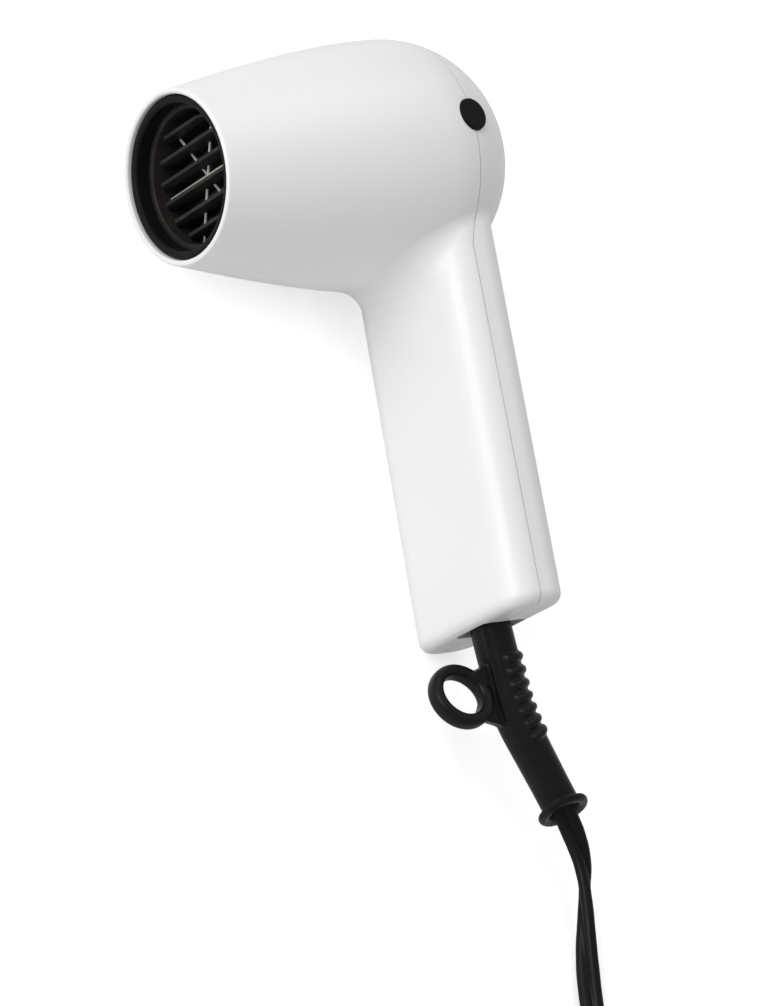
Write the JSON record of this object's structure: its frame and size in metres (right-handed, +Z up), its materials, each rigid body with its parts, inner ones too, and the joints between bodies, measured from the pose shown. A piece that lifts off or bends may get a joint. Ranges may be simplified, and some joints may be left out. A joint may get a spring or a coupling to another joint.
{
  "type": "embossing heat tool",
  "caption": "Pistol-shaped craft heat gun with a barrel, slab handle, grilled round nozzle, hanging-loop strain relief and a coiled mains cord.",
  "frame": {"origin": "bottom centre of the box round the tool without its free cord, on the surface it lies on", "axes": "+Y from the cord's end to the barrel's top, +Z up from the surface, nozzle towards -X"},
  "size_m": [0.1367, 0.4294, 0.0753],
  "materials": {
    "white_plastic": "semi-gloss moulded",
    "black_plastic": "satin black",
    "rocker_plastic": "glossy black",
    "dark_steel": "dull grey",
    "steel": "bright steel",
    "sleeve_metal": "rolled sheet",
    "mica": "layered mica",
    "motor_can": "drawn can",
    "board": "laminate",
    "component": "epoxy",
    "relief_rubber": "soft moulded",
    "cord_jacket": "satin black",
    "lead_jacket": "satin",
    "brass_blade": "polished"
  },
  "bodies": {
    "housing": {"front_housing": "white_plastic", "back_cover": "white_plastic", "left_seam_plug": "black_plastic", "right_seam_plug": "black_plastic", "nozzle_liner": "black_plastic", "switch_body": "black_plastic", "cord_clamp": "black_plastic", "motor_mount": "black_plastic", "grille": "dark_steel", "wire_guard": "steel", "housing_screws": "steel", "clamp_screws": "steel", "heating_coil": "steel", "thermal_cutout": "steel", "heat_sleeve": "sleeve_metal", "upright_mica_board": "mica", "level_mica_board": "mica", "motor": "motor_can", "diode_board": "board", "diodes": "component", "capacitor": "component", "strain_relief": "relief_rubber", "cord_inner": "cord_jacket", "cord_lead": "cord_jacket", "cord_coil": "cord_jacket", "cord_tail": "cord_jacket", "coil_tie": "cord_jacket", "plug_body": "cord_jacket", "neutral_lead": "lead_jacket", "live_lead": "lead_jacket", "switched_lead": "lead_jacket", "plug_blades": "brass_blade"},
    "rotor": {"fan_impeller": "black_plastic", "motor_shaft": "steel"},
    "rocker": {"switch_rocker": "rocker_plastic"}
  },
  "joints": [
    {"name": "fan_spin", "type": "hinge", "parent": "housing", "child": "rotor", "pos_m": [0.0332, 0.08154, 0.0374], "axis": [-1, 0, 0], "continuous": true},
    {"name": "rocker_press", "type": "hinge", "parent": "housing", "child": "rocker", "pos_m": [0.03233, 0.01982, 0.03277], "axis": [0, -0.0749, 0.9972], "range_deg": [0, 18]}
  ]
}
